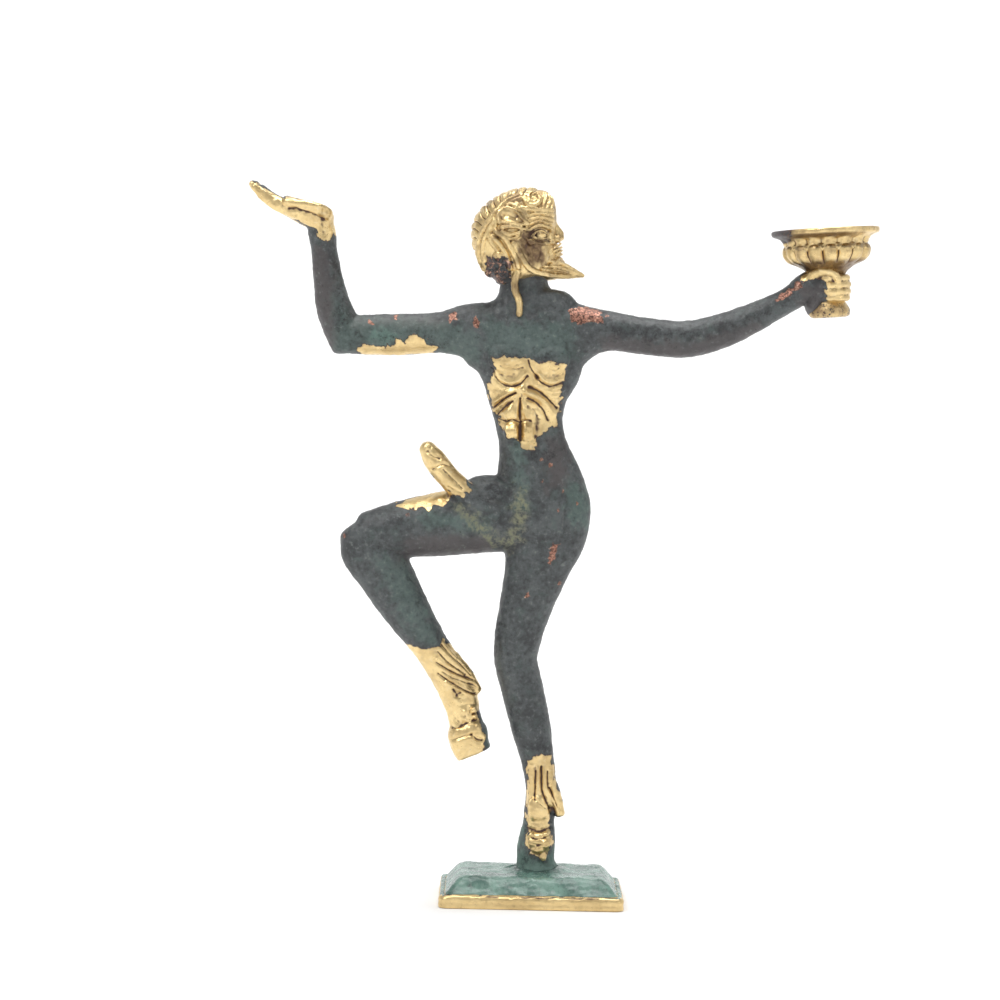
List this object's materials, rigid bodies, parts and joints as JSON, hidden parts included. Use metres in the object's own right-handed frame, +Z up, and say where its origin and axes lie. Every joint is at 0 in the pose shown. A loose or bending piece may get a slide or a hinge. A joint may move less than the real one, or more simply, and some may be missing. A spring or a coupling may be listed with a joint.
{
  "type": "statuette",
  "caption": "Cast bronze satyr statuette: dances on a hoof with a knee raised, turns a palm up and holds out a footed cup, on a low rectangular plinth.",
  "frame": {"origin": "centre of the plinth's underside", "axes": "+Z up, -Y out of the figure's chest towards the viewer, +X towards the hand that holds the cup"},
  "size_m": [0.1314, 0.028, 0.1494],
  "materials": {
    "figure_bronze": "dark blue-grey and green patina, rubbed bright on head, hands, cup, chest, shanks and hooves",
    "plinth_bronze": "green patina on top, worn bright rim"
  },
  "bodies": {
    "root": {"satyr_figure": "figure_bronze", "plinth": "plinth_bronze"}
  },
  "joints": []
}
